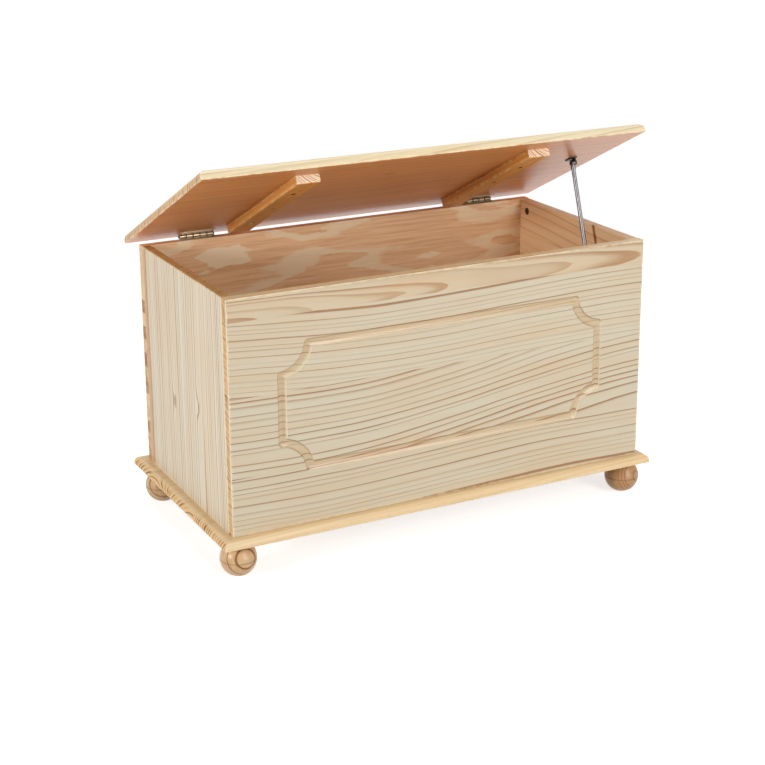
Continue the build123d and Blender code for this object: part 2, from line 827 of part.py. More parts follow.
def foot_bracket_screw_shapes(make):
    shapes = []
    head_x = inner_right - bracket_thickness
    inset = foot_bracket_height / 2 - foot_bracket_width / 2 + bracket_screw_head_radius
    for sign in (-1, 1):
        head = (head_x, strut_foot_y, strut_foot_z + sign * inset)
        shapes.append(
            make((1, 0, 0), head, bracket_screw_radius, bracket_screw_head_radius, bracket_screw_length)
        )
    return shapes


def lid_bracket():
    """The bracket under the lid, drawn closed: a foot plate over the eye, and a flange for its pin."""
    pivot_y = axis_y - strut_lid_pivot_reach
    pivot_z = lid_bottom - strut_lid_pivot_drop
    flange_x = lid_bracket_flange_x()
    foot_x = (flange_x[1] - lid_bracket_foot_width, flange_x[1])
    half_length = lid_bracket_length / 2
    foot_y = (pivot_y - half_length, pivot_y + half_length)
    foot = block(foot_x, foot_y, (lid_bottom - bracket_thickness, lid_bottom))
    foot = fillet(foot.edges().filter_by(Axis.Z), bracket_corner_radius)
    flange_y = (pivot_y - strut_lid_eye_radius, pivot_y + strut_lid_eye_radius)
    flange = block(flange_x, flange_y, (pivot_z, lid_bottom))
    flange_end = Vector(flange_x[0], pivot_y, pivot_z)
    flange += bar(flange_end, (1, 0, 0), strut_lid_eye_radius, bracket_thickness)
    bore_start = flange_end - Vector(bracket_thickness, 0, 0)
    bore = bar(bore_start, (1, 0, 0), strut_lid_pin_radius + running_clearance, 3 * bracket_thickness)
    return cut_all(foot + flange - bore, lid_bracket_screw_shapes(screw_hole))


def lid_bracket_screw_shapes(make):
    shapes = []
    pivot_y = axis_y - strut_lid_pivot_reach
    head_x = lid_bracket_flange_x()[1] - lid_bracket_foot_width / 2
    inset = lid_bracket_length / 2 - bracket_screw_head_radius - lid_bracket_screw_margin
    for sign in (-1, 1):
        head = (head_x, pivot_y + sign * inset, lid_bottom - bracket_thickness)
        shapes.append(
            make((0, 0, 1), head, bracket_screw_radius, bracket_screw_head_radius, bracket_screw_length)
        )
    return shapes


# Write every piece
os.makedirs("parts", exist_ok=True)

save("base_board", base_board())
save("front_panel", front_panel())
save("back_panel", back_panel())
save("left_side_panel", side_panel(-1))
save("right_side_panel", side_panel(1))
for foot_name, foot_x, foot_y in foot_places():
    save(foot_name, ball_foot(foot_x, foot_y))
save_group("foot_bolts", [foot_bolt(x, y, 0) for _, x, y in foot_places()])
save_group("base_screws", base_screw_shapes(countersunk_screw))

corners = list(corner_places())
save_group("corner_dowels", [dowel(*corner, z, 0) for corner in corners for z in dowel_heights()])
save_group("cam_bolts", [cam_bolt(*corner, z) for corner in corners for z in cam_heights()])
save_group("cam_locks", [cam_lock(*corner, z) for corner in corners for z in cam_heights()])

for hinge_name, hinge_x in (("left", -hinge_offset), ("right", hinge_offset)):
    save(hinge_name + "_hinge_box_leaf", hinge_leaf(hinge_x, on_lid=False))
    save(hinge_name + "_hinge_lid_leaf", opened(hinge_leaf(hinge_x, on_lid=True)))
    save(hinge_name + "_hinge_pin", hinge_pin(hinge_x))
save_group("hinge_box_screws", hinge_box_screw_shapes(countersunk_screw))
save_group("hinge_lid_screws", [opened(screw) for screw in hinge_lid_screw_shapes(countersunk_screw)])

save("lid_panel", opened(lid_panel()))
batten_screws = []
for batten_name, batten_x in (("left", -batten_offset), ("right", batten_offset)):
    save("lid_batten_" + batten_name, opened(lid_batten(batten_x)))
    batten_screws += [opened(screw) for screw in batten_screw_shapes(countersunk_screw, batten_x)]
save_group("batten_screws", batten_screws)

save("strut_tube", strut_tube())
save("strut_tube_eye", strut_tube_eye())
save("strut_rod_guide", strut_rod_guide())
save("strut_piston", strut_piston())
save("strut_rod", strut_rod())
save("strut_rod_end", strut_rod_end())
save("strut_lid_pin", strut_lid_pin())
save("strut_foot_bracket", foot_bracket())
save("strut_lid_bracket", opened(lid_bracket()))
save_group("foot_bracket_screws", foot_bracket_screw_shapes(countersunk_screw))
save_group("lid_bracket_screws", [opened(screw) for screw in lid_bracket_screw_shapes(countersunk_screw)])

shut_angle, strut_turn, strut_stroke = strut_motion()
print("hinge axis y, z", axis_y, axis_z)
print("lid shuts through", shut_angle, "degrees; strut turns", strut_turn, "and slides", strut_stroke)
print("strut upper pivot", strut_point(strut_length), "direction", strut_direction)
print("strut length", strut_length, "stud wander", strut_stud_wander())
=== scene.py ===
import json
import math

import bpy
from mathutils import Matrix, Vector


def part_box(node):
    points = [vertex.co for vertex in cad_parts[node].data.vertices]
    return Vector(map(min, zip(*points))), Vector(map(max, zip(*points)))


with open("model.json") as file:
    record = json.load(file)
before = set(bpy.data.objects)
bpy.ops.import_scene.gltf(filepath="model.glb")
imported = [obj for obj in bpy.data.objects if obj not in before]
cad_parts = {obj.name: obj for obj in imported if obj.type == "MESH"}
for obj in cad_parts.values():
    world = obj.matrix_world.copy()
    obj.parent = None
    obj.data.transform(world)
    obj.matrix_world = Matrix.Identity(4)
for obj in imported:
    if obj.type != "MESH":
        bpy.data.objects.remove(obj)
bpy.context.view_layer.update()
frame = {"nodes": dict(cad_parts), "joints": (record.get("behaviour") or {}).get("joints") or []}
nodes = frame["nodes"]

# Millimetres in a metre: the materials are worked out in millimetres
MILLIMETRES = 1000.0

# The lid stands open at this angle about the hinge line, as the solids have it
LID_OPEN = math.radians(26.0)
lid_hinge = next(joint for joint in frame["joints"] if joint["name"] == "lid_hinge")
HINGE_LINE = Vector(lid_hinge["pos_m"])


def srgb(red, green, blue):
    """A colour as it looks on screen, 0 to 255, as the linear colour that shaders take."""
    linear = []
    for level in (red, green, blue):
        share = level / 255
        linear.append(share / 12.92 if share <= 0.04045 else ((share + 0.055) / 1.055) ** 2.4)
    return (*linear, 1.0)


class Value:
    """A socket's value in a material, so that shader maths is written as plain arithmetic."""

    def __init__(self, finish, socket):
        self.finish = finish
        self.socket = socket

    def math(self, operation, *others):
        return self.finish.add("ShaderNodeMath", {"operation": operation}, [self, *others])

    def __add__(self, other):
        return self.math("ADD", other)

    def __sub__(self, other):
        return self.math("SUBTRACT", other)

    def __mul__(self, other):
        return self.math("MULTIPLY", other)

    def __truediv__(self, other):
        return self.math("DIVIDE", other)

    def __pow__(self, other):
        return self.math("POWER", other)

    def __neg__(self):
        return self.math("MULTIPLY", -1.0)

    def __rsub__(self, other):
        return (-self).math("ADD", other)

    __radd__ = __add__
    __rmul__ = __mul__

    def above(self, limit):
        return self.math("GREATER_THAN", limit)

    def size(self):
        return self.math("ABSOLUTE")

    def whole(self):
        return self.math("FLOOR")

    def part(self):
        return self.math("FRACT")

    def root(self):
        return self.math("SQRT")

    def least(self, other):
        return self.math("MINIMUM", other)

    def most(self, other):
        return self.math("MAXIMUM", other)


class Finish:
    """A material's or the surround's nodes, and the few kinds of node that they are built from."""

    def __init__(self, owner):
        self.owner = owner
        owner.use_nodes = True
        self.tree = owner.node_tree
        self.tree.nodes.clear()

    def add(self, kind, settings=None, sockets=None, output=0):
        """A node: its settings first, then values or links for its sockets, by place or by name."""
        node = self.tree.nodes.new(kind)
        for key, setting in (settings or {}).items():
            if key == "stops":
                self.set_stops(node.color_ramp, setting)
            else:
                setattr(node, key, setting)
        named = sockets if isinstance(sockets, dict) else dict(enumerate(sockets or []))
        for key, value in named.items():
            socket = node.inputs[key]
            if isinstance(value, Value):
                self.tree.links.new(value.socket, socket)
            else:
                socket.default_value = value
        return Value(self, node.outputs[output]) if node.outputs else None

    def set_stops(self, ramp, stops):
        while len(ramp.elements) < len(stops):
            ramp.elements.new(0.5)
        for element, (place, level) in zip(ramp.elements, stops):
            element.position = place
            element.color = (level, level, level, 1.0)

    def ramp(self, value, stops):
        return self.add("ShaderNodeValToRGB", {"stops": stops}, [value])

    def smooth(self, value, low, high):
        """0 below low, 1 above high, with an easy slope between. low may be the larger one."""
        settings = {"interpolation_type": "SMOOTHSTEP", "clamp": True}
        return self.add("ShaderNodeMapRange", settings, [value, low, high, 0.0, 1.0])

    def vector(self, x, y, z):
        return self.add("ShaderNodeCombineXYZ", None, [x, y, z])

    def split(self, vector):
        return [self.add("ShaderNodeSeparateXYZ", None, [vector], output) for output in range(3)]

    def scaled(self, vector, scale):
        return self.add("ShaderNodeVectorMath", {"operation": "MULTIPLY"}, [vector, scale])

    def noise(self, vector, detail=2.0, roughness=0.5):
        sockets = {"Vector": vector, "Scale": 1.0, "Detail": detail, "Roughness": roughness}
        return self.add("ShaderNodeTexNoise", {"noise_dimensions": "3D"}, sockets)

    def drift(self, place, detail=1.0):
        """Noise along one line, from about -1 to 1."""
        sockets = {"W": place, "Scale": 1.0, "Detail": detail, "Roughness": 0.5}
        level = self.add("ShaderNodeTexNoise", {"noise_dimensions": "1D"}, sockets)
        return level * 2.0 - 1.0

    def chance(self, seed):
        return self.add("ShaderNodeTexWhiteNoise", {"noise_dimensions": "1D"}, {"W": seed})

    def mix(self, share, first, second, blend="MIX"):
        """A mix of two colours. The node has sockets of one name for each type, so these go by place."""
        settings = {"data_type": "RGBA", "blend_type": blend, "clamp_factor": True}
        return self.add("ShaderNodeMix", settings, {0: share, 6: first, 7: second}, 2)

    def place(self):
        """Where a point lies on the object at rest, in millimetres."""
        spot = self.add("ShaderNodeTexCoord", None, None, "Object")
        return self.scaled(spot, (MILLIMETRES, MILLIMETRES, MILLIMETRES))

    def facing(self):
        """Which way the surface faces, in the object's own axes."""
        return self.add("ShaderNodeTexCoord", None, None, "Normal")

    def shut(self, vector, kind, **shift):
        """Turn a place or a facing on the open lid back to the shut lid."""
        sockets = {"Vector": vector, "Rotation": (LID_OPEN, 0.0, 0.0), **shift}
        return self.add("ShaderNodeMapping", {"vector_type": kind}, sockets)

    def bump(self, height, strength, distance):
        sockets = {"Height": height, "Strength": strength, "Distance": distance}
        return self.add("ShaderNodeBump", None, sockets)

    def close(self, **sockets):
        """The surface shader and the output. Socket names have underscores for spaces."""
        plain = {key.replace("_", " "): value for key, value in sockets.items()}
        surface = self.add("ShaderNodeBsdfPrincipled", None, plain)
        self.add("ShaderNodeOutputMaterial", None, {"Surface": surface})
        return self.owner


def new_finish(name):
    return Finish(bpy.data.materials.new(name))


SHUT_TURN = Matrix.Rotation(LID_OPEN, 3, "X")
SHUT_SHIFT = HINGE_LINE - SHUT_TURN @ HINGE_LINE


def node_box(node_name, swung):
    """A node's lowest and highest corners in millimetres, with the lid's pieces turned shut."""
    if not swung:
        return [Vector(corner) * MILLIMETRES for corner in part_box(node_name)]
    points = [SHUT_TURN @ vertex.co + SHUT_SHIFT for vertex in nodes[node_name].data.vertices]
    low = Vector([min(point[axis] for point in points) for axis in range(3)])
    high = Vector([max(point[axis] for point in points) for axis in range(3)])
    return [low * MILLIMETRES, high * MILLIMETRES]


# Pine has growth rings round a pith line that runs along the grain. Every face, edge and end of
# a board is a cut through the same rings, so the figure goes on round its corners.

# How dark the wood is through a year's growth. Its late wood begins at LATE_START.
LATE_START = 0.72
YEAR_STOPS = [
    (0.0, 0.25),
    (0.02, 0.0),
    (0.5, 0.02),
    (LATE_START, 0.15),
    (0.9, 0.95),
    (0.985, 1.0),
    (1.0, 0.25),
]

# Length and width, in millimetres, of what changes along the grain
STRAY = (420.0, 160.0)
WAVER = (150.0, 20.0)
HEART_PATCH = (260.0, 40.0)
ROSY_STREAK = (500.0, 14.0)
FIBRE = (42.0, 1.0 / 1.1)
RESIN_DUCT = (10.0, 1.0 / 2.3)

# How strongly each mark shows in the wood's colour
FIBRE_SHADE = 0.25
DUCT_SHADE = 0.3
KNOT_SHADE = 0.6
SCRIBE_SHADE = 0.6
WEAR_AND_HIGHLIGHT_SHADE = 0.65

# How many times longer than wide a knot is
KNOT_STRETCH = 3.2

# Depths below the routed face, in millimetres, over which each part of the groove sets in or ends
LIP_DEPTH = (0.05, 0.2)
CORNER_DEPTH = (0.6, 0.8)
LEDGE_END = (1.4, 2.4)
WALL_DEPTH = (0.4, 2.4)
GROOVE_END = (5.0, 6.0)

# Radius of the holes for the battens' screws, in millimetres
BORE_RADIUS = 4.2

# Height of the fibres in metres, and how many times as high the groove's walls are drawn
GRAIN_RELIEF = 0.00008
GROOVE_WALL = 26.0

# How much of a glossy top coat lies on the wood, and how it shines
THIN_LACQUER = 0.08
GROOVE_LACQUER = 0.6
FOOT_LACQUER = 0.4
LID_LACQUER = 0.5
LACQUER_SHEEN = {"Specular_IOR_Level": 0.3, "Coat_Roughness": 0.28}


class Strip:
    """One of the boards that a panel is glued up from. Lengths are in millimetres.

    start is where it begins across the panel. pith is where its rings are struck from, across
    the panel and in depth, and lean how far that line moves in a metre of grain. ring is a
    year's growth, late the share of it that is dark, bold how dark, and heart how much of the
    strip is heartwood. sway is how far the grain strays, and waves are its slow bends, each
    with a length, a height and the place of a crest."""

    def __init__(self, start, pith, lean=(0.0, 0.0), ring=9.0, late=0.25, bold=1.0, heart=0.0,
                 sway=3.0, waves=()):
        self.start = start
        self.pith_across, self.pith_depth = pith
        self.lean_across, self.lean_depth = lean
        self.ring = ring
        # A year raised to this power has its dark share after LATE_START.
        self.late_power = math.log(LATE_START) / math.log(1.0 - late)
        self.bold = bold
        self.heart = heart
        self.sway = sway
        self.waves = waves

    def bend(self, along):
        """How far the grain is bent across the strip, at a place along it."""
        total = 0.0
        for length, height, crest in self.waves:
            angle = (along - crest) * (2.0 * math.pi / length)
            total = angle.math("COSINE") * height + total
        return total


class Knot:
    """A small knot that runs square through a board, at a place along and across the grain."""

    def __init__(self, along, across, radius):
        self.along = along
        self.across = across
        self.radius = radius


def pick(steps, levels):
    """The level of the strip that a point lies in. Levels are numbers or values."""
    chosen = levels[0]
    for step, before, after in zip(steps, levels, levels[1:]):
        if after != before:
            chosen = step * (after - before) + chosen
    return chosen


# Distances from a board's edge, in millimetres, at which its wear and painted highlight end and at which
# they are full
EDGE_WEAR_AND_HIGHLIGHT = (5.0, 0.6)

# How squarely a face cuts the grain, where it turns from long grain to end grain
END_FACING = (0.55, 0.9)


def edge_nearness(finish, spots, low, high):
    """1 on the edges of a board's box, falling to 0 a few millimetres in from them."""
    gaps = []
    for axis, letter in enumerate("XYZ"):
        gaps.append((spots[letter] - low[axis]).least(high[axis] - spots[letter]))
    smaller = gaps[0].least(gaps[1])
    larger = gaps[0].most(gaps[1])
    second = smaller.most(larger.least(gaps[2]))
    return finish.smooth(second, *EDGE_WEAR_AND_HIGHLIGHT)


# How far apart the random seeds of neighbouring strips are
SEED_STEP = 37.0


class Board:
    """A piece of pine while its look is made: where a point lies in it, and which way it faces there.

    axes names the grain's direction, the one across the strips, and the depth. swung is for the
    pieces of the open lid."""

    def __init__(self, node_name, axes, strips, seed, swung):
        finish = new_finish(node_name + "_pine_look")
        place = finish.place()
        facing = finish.facing()
        if swung:
            place = finish.shut(place, "POINT", Location=SHUT_SHIFT * MILLIMETRES)
            facing = finish.shut(facing, "VECTOR")
        self.finish = finish
        self.place = place
        self.box = node_box(node_name, swung)
        self.spots = dict(zip("XYZ", finish.split(place)))
        self.faces = dict(zip("XYZ", finish.split(facing)))
        self.along, self.across, self.depth = (self.spots[axis] for axis in axes)
        self.end = finish.smooth(self.faces[axes[0]].size(), *END_FACING)
        self.strips = strips
        self.steps = [self.across.above(strip.start) for strip in strips[1:]]
        self.seed = sum(self.steps) * SEED_STEP + seed

    def of_strip(self, quality):
        """A quality of the strip that a point lies in."""
        return pick(self.steps, [getattr(strip, quality) for strip in self.strips])

    def grain_noise(self, patch, detail, roughness=0.5, seeded="across"):
        """Noise in patches of a length and a width. seeded is the direction that the seed shifts it in."""
        length, width = patch
        places = {"along": self.along / length, "across": self.across / width, "depth": self.depth / width}
        places[seeded] = places[seeded] + self.seed
        return self.finish.noise(self.finish.vector(*places.values()), detail, roughness)

    def ring_radius(self):
        """How far a point lies from its strip's pith line, which leans, bends and strays."""
        metres = self.along / MILLIMETRES
        sway = self.of_strip("sway")
        stray = (self.grain_noise(STRAY, 1.0, seeded="along") - 0.5) * sway * 4.0
        bend = pick(self.steps, [strip.bend(self.along) for strip in self.strips])
        lean_across = metres * self.of_strip("lean_across")
        lean_depth = metres * self.of_strip("lean_depth")
        from_across = self.across - self.of_strip("pith_across") - lean_across + stray - bend
        from_depth = self.depth - self.of_strip("pith_depth") - lean_depth
        from_depth = from_depth + self.finish.drift(self.along / 460.0 + self.seed * 1.3) * sway
        radius = (from_across * from_across + from_depth * from_depth).root()
        waver = self.grain_noise(WAVER, 2.0) - 0.5
        return radius + waver * 2.4

    def pass_knots(self, radius, knots):
        """Draw the rings aside round each knot, and find where the knots' hearts are."""
        heart = None
        for knot in knots:
            off_along = (self.along - knot.along) / KNOT_STRETCH
            off_across = self.across - knot.across
            apart = (off_along * off_along + off_across * off_across).root() / knot.radius
            pull = self.finish.smooth(apart, 5.0, 0.0)
            radius = radius + pull * pull * (knot.radius * 2.2)
            core = self.finish.smooth(apart, 1.15, 0.5)
            heart = core if heart is None else heart.most(core)
        return radius, heart

    def late_lines(self, radius):
        """A year: pale early wood that darkens slowly, a dark line of late wood, then a sharp end."""
        finish = self.finish
        years = radius / self.of_strip("ring")
        years = years + finish.drift(years * 0.41 + self.seed, 2.0) * 0.8
        season = years.part() ** self.of_strip("late_power")
        strength = finish.chance(years.whole() + self.seed * 13.0)
        spot = finish.vector(self.along / 230.0 + self.seed, years * 0.8, self.depth / 200.0)
        fading = finish.noise(spot, 2.0)
        return finish.ramp(season, YEAR_STOPS) * (strength * 0.75 + 0.25) * (fading * 1.5 + 0.2)

    def cut_colour(self, tones, dark_line, late, fibre):
        """Colour of long grain and end grain, with slow changes to heartwood and to a rosier cream."""
        finish = self.finish
        patch = self.grain_noise(HEART_PATCH, 2.0)
        heart = finish.smooth(patch, 0.4, 0.75) * 0.35 + self.of_strip("heart")
        rosy = self.grain_noise(ROSY_STREAK, 2.0, seeded="along")
        early_colour = finish.mix(finish.smooth(rosy, 0.35, 0.7), tones["early"], tones["rosy"])
        early_colour = finish.mix(heart, early_colour, tones["heart_early"])
        late_colour = finish.mix(heart, tones["late"], tones["heart_late"])
        face_colour = finish.mix(late, early_colour, late_colour)
        end_dark = dark_line * 1.6 + fibre * FIBRE_SHADE
        end_colour = finish.mix(end_dark, tones["end_early"], tones["end_late"])
        return finish.mix(self.end, face_colour, end_colour)

    def rim_and_underside(self, colour, tones, dark_line):
        """Paint the top rim paler, a painted highlight, and the underside darker and warmer, painted shade
        and warm bounce light, where the tones have them.
        """
        finish = self.finish
        if "rim_highlight" in tones:
            # Faces that look up, such as the front's top rim, get a painted highlight
            colour = finish.mix(finish.smooth(self.faces["Z"], 0.3, 0.7), colour, tones["rim_highlight"])
        if "under" in tones:
            # The underside is painted darker and warmer: painted shade and warm bounce light, with its
            # grain lines streaked in
            underside = finish.smooth(self.faces["Z"], -0.35, -0.8)
            shaded_underside = finish.mix(1.0, colour, tones["under"], "MULTIPLY")
            shaded_underside = finish.mix(dark_line * 0.45, shaded_underside, tones["streak"])
            colour = finish.mix(underside, colour, shaded_underside)
        return colour

    def routed_groove(self, colour, tones, groove_face):
        """The groove's colour, where it is cut, and a height that steepens its walls.

        The cut is warmer than the face. Its lips are pale with wear and in part a painted highlight. On
        slopes that face up or left, towards the lamps, the warm tint is weaker and the pale band broader:
        a painted highlight."""
        finish = self.finish
        sunk_by = self.depth - groove_face
        lip = finish.smooth(sunk_by, *LIP_DEPTH)
        corner = finish.smooth(sunk_by, *CORNER_DEPTH)
        ledge = lip - finish.smooth(sunk_by, *LEDGE_END)
        cut = corner - finish.smooth(sunk_by, *GROOVE_END)
        # Slopes that face up or to the left, towards the lamps, where a painted highlight goes
        toward_lamps = finish.smooth(self.faces["Z"] - self.faces["X"], 0.15, 0.55)
        colour = finish.mix((lip - corner) * 0.9, colour, tones["pale_wear_and_highlight"])
        colour = finish.mix(cut * (0.8 - toward_lamps * 0.6), colour, tones["routed"], "MULTIPLY")
        colour = finish.mix(ledge * toward_lamps * 0.9, colour, tones["pale_wear_and_highlight"])
        return colour, cut, finish.smooth(sunk_by, *WALL_DEPTH) * GROOVE_WALL

    def inside_bore(self, bore_x, bore_y):
        """1 inside the hole that a screw is sunk in."""
        off_x = self.spots["X"] - bore_x
        off_y = self.spots["Y"] - bore_y
        from_axis = (off_x * off_x + off_y * off_y).root()
        return self.finish.smooth(from_axis, BORE_RADIUS + 0.6, BORE_RADIUS)

    def edge_wear_and_highlight(self):
        """Handled edges: the lacquer is rubbed thin in places, so they are paler and less even, and in
        part the paleness is a painted highlight along them.
        """
        rub = self.finish.noise(self.finish.scaled(self.place, (0.06, 0.06, 0.06)), 3.0, 0.6)
        return edge_nearness(self.finish, self.spots, *self.box) * self.finish.smooth(rub, 0.34, 0.66)


def pine(node_name, axes, strips, seed, tones, swung=False, knots=(), groove_face=None,
         scribe_height=None, bores=(), lacquer=THIN_LACQUER):
    """Clear-lacquered pine.

    groove_face is where the routed face lies in depth, and scribe_height is where a turned piece
    has a scribed line. bores are the places, in X and Y, of the holes that a piece's screws are
    sunk in, and lacquer is how much of a glossy top coat lies on it."""
    board = Board(node_name, axes, strips, seed, swung)
    finish = board.finish
    radius, knot_heart = board.pass_knots(board.ring_radius(), knots)
    dark_line = board.late_lines(radius)
    late = dark_line * board.of_strip("bold")
    fibre = board.grain_noise(FIBRE, 3.0, 0.6)
    ducts = finish.smooth(board.grain_noise(RESIN_DUCT, 1.0, seeded="depth"), 0.66, 0.8)

    colour = board.cut_colour(tones, dark_line, late, fibre)
    colour = board.rim_and_underside(colour, tones, dark_line)
    if knot_heart is not None:
        colour = finish.mix(knot_heart * KNOT_SHADE, colour, tones["knot"])
    colour = finish.mix(fibre * FIBRE_SHADE, colour, tones["fibre"], "MULTIPLY")
    colour = finish.mix(ducts * DUCT_SHADE, colour, tones["fibre"], "MULTIPLY")
    height = fibre * 0.5 + late * 0.3 - ducts * 0.5 + board.end * fibre * 0.6
    if groove_face is not None:
        colour, cut, wall = board.routed_groove(colour, tones, groove_face)
        lacquer = cut * GROOVE_LACQUER + lacquer
        height = height - wall
    if scribe_height is not None:
        scribe = finish.smooth((board.spots["Z"] - scribe_height).size(), 1.1, 0.4)
        colour = finish.mix(scribe * SCRIBE_SHADE, colour, tones["late"])
    # The inside of each screw hole is painted dark: painted shade in the recess
    for bore in bores:
        colour = finish.mix(board.inside_bore(*bore), colour, tones["bore_shade"])
    # Pale edges: wear, and in part a painted highlight
    wear_and_highlight = board.edge_wear_and_highlight()
    colour = finish.mix(wear_and_highlight * WEAR_AND_HIGHLIGHT_SHADE, colour, tones["pale_wear_and_highlight"])

    return finish.close(
        **LACQUER_SHEEN,
        Base_Color=colour,
        Roughness=fibre * 0.14 + late * 0.05 + board.end * 0.16 + wear_and_highlight * 0.12 + 0.38,
        Coat_Weight=lacquer,
        Normal=finish.bump(height, 1.0, GRAIN_RELIEF),
    )


def peeled_veneer(node_name, seed, tones):
    """Board faced with peeled veneer: broad flames on its faces, and its core's blocks at its ends.

    What x, y and z are divided by is the size of each kind of mark in millimetres."""
    finish = new_finish(node_name + "_veneer_look")
    place = finish.place()
    x, y, z = finish.split(place)
    end = finish.smooth(finish.split(finish.facing())[0].size(), *END_FACING)

    # The knife runs round the log along its rings, so the flames are contours of a slow swell.
    swell = finish.noise(finish.vector(x / 330.0 + seed, y / 900.0, z / 85.0), 2.0, 0.45)
    ragged = finish.noise(finish.vector(x / 45.0, y / 45.0, z / 13.0), 3.0, 0.6) - 0.5
    years = swell * 4.4 + ragged * 0.55
    stops = [(0.0, 0.8), (0.05, 1.0), (0.28, 0.9), (0.4, 0.0), (0.97, 0.0), (1.0, 0.8)]
    strength = finish.smooth(finish.chance(years.whole() + seed), 0.3, 0.7)
    flame = finish.ramp(years.part(), stops) * strength
    streak = finish.noise(finish.vector(x / 120.0, y / 20.0, z / 4.0 + seed), 3.0, 0.6)
    fibre = finish.noise(finish.vector(x / 25.0, y * 1.2, z * 1.2), 3.0, 0.6)

    block = finish.chance((z / 27.0 + ragged * 0.5).whole() + seed)
    mottle = finish.noise(finish.vector(x / 40.0, y / 5.0, z / 11.0), 3.0, 0.6)
    core = finish.smooth(block * 0.5 + mottle, 0.6, 1.0)

    face_colour = finish.mix(finish.smooth(streak, 0.3, 0.75), tones["early"], tones["late"])
    face_colour = finish.mix(flame, face_colour, tones["flame"])
    colour = finish.mix(end, face_colour, finish.mix(core, tones["end_early"], tones["end_late"]))
    colour = finish.mix(fibre * FIBRE_SHADE, colour, tones["fibre"], "MULTIPLY")

    spots = {"X": x, "Y": y, "Z": z}
    # Pale edges: wear, and in part a painted highlight
    wear_and_highlight = edge_nearness(finish, spots, *node_box(node_name, False)) * finish.smooth(mottle, 0.4, 0.7)
    colour = finish.mix(wear_and_highlight * 0.4, colour, tones["pale_wear_and_highlight"])
    return finish.close(
        **LACQUER_SHEEN,
        Base_Color=colour,
        Roughness=fibre * 0.16 + end * 0.16 + 0.4,
        Coat_Weight=THIN_LACQUER,
        Normal=finish.bump(fibre * 0.6 + streak * 0.3, 0.2, 0.0004),
    )


PALE_PINE = {
    "early": srgb(214, 206, 184),
    "rosy": srgb(214, 200, 174),
    "late": srgb(165, 127, 92),
    "heart_early": srgb(216, 188, 148),
    "heart_late": srgb(190, 138, 90),
    "end_early": srgb(230, 190, 134),
    "end_late": srgb(146, 92, 44),
    "fibre": srgb(216, 192, 156),
    "routed": srgb(244, 226, 200),
    "knot": srgb(128, 92, 62),
    "pale_wear_and_highlight": srgb(246, 228, 192),
}
FRONT_PINE = {
    **PALE_PINE,
    # The top rim's painted highlight
    "rim_highlight": srgb(255, 228, 178),
}
SIDE_PINE = {
    **PALE_PINE,
    "early": srgb(228, 221, 203),
    "rosy": srgb(229, 215, 188),
    "late": srgb(170, 132, 88),
    "heart_early": srgb(224, 188, 146),
    "heart_late": srgb(172, 120, 76),
    "end_early": srgb(236, 190, 124),
    "end_late": srgb(126, 74, 32),
    "pale_wear_and_highlight": srgb(246, 222, 170),
}
WARM_PINE = {
    **PALE_PINE,
    "early": srgb(246, 212, 168),
    "rosy": srgb(240, 198, 150),
    "late": srgb(192, 130, 78),
    "heart_early": srgb(236, 188, 138),
    "heart_late": srgb(186, 120, 72),
}
BASE_PINE = {
    **PALE_PINE,
    "early": srgb(240, 215, 172),
    "rosy": srgb(238, 207, 160),
    "late": srgb(196, 154, 100),
    "heart_early": srgb(226, 194, 146),
    "end_early": srgb(246, 210, 152),
    "end_late": srgb(150, 92, 42),
}
LID_PINE = {
    **PALE_PINE,
    "early": srgb(238, 225, 190),
    "rosy": srgb(234, 214, 172),
    "late": srgb(184, 140, 90),
    "heart_early": srgb(230, 196, 142),
    "heart_late": srgb(170, 110, 60),
    # The underside's painted shade and warm bounce light
    "under": srgb(244, 174, 122),
    "streak": srgb(120, 70, 36),
    "pale_wear_and_highlight": srgb(250, 232, 192),
}
BATTEN_PINE = {
    **PALE_PINE,
    "early": srgb(236, 166, 82),
    "rosy": srgb(230, 154, 70),
    "late": srgb(186, 112, 50),
    "heart_early": srgb(226, 160, 84),
    "heart_late": srgb(186, 114, 54),
    "end_early": srgb(252, 238, 212),
    "end_late": srgb(176, 108, 62),
    "pale_wear_and_highlight": srgb(250, 222, 170),
    # Painted shade inside the screw holes
    "bore_shade": srgb(66, 38, 18),
}
VENEER_PINE = {
    **PALE_PINE,
    "early": srgb(253, 211, 166),
    "late": srgb(231, 181, 134),
    "flame": srgb(255, 234, 198),
    "end_early": srgb(236, 202, 158),
    "end_late": srgb(168, 112, 66),
}
TURNED_PINE = {
    **PALE_PINE,
    "early": srgb(226, 194, 150),
    "rosy": srgb(206, 162, 112),
    "late": srgb(122, 78, 40),
    "heart_early": srgb(186, 142, 96),
    "heart_late": srgb(106, 66, 34),
}

FRONT_STRIPS = [
    Strip(79.0, (-200.0, -120.0), (14.0, 20.0), 11.0, 0.2, 1.4, waves=[(900.0, 5.0, 200.0)]),
    Strip(185.0, (130.0, -150.0), (0.0, -22.0), 11.0, 0.24, 1.6, sway=5.0, waves=[(1500.0, 30.0, 480.0)]),
    Strip(330.0, (-60.0, -110.0), (-20.0, 30.0), 10.0, 0.2, 1.4, waves=[(1300.0, 12.0, 500.0)]),
    Strip(467.0, (474.0, -172.0), (16.0, 34.0), 6.0, 0.5, 1.3, 0.4, sway=9.0),
]
LEFT_STRIPS = [
    Strip(-200.0, (-460.0, -300.0), (8.0, 10.0), 7.0, 0.22, 1.8, sway=2.0),
    Strip(-96.0, (-340.0, -280.0), (0.0, 10.0), 8.0, 0.22, 1.8, sway=2.5),
    Strip(28.0, (-250.0, -300.0), (6.0, -10.0), 7.0, 0.22, 1.8, sway=2.0),
    Strip(168.0, (60.0, -330.0), (4.0, 10.0), 5.0, 0.6, 1.2, 0.7, sway=3.0),
]
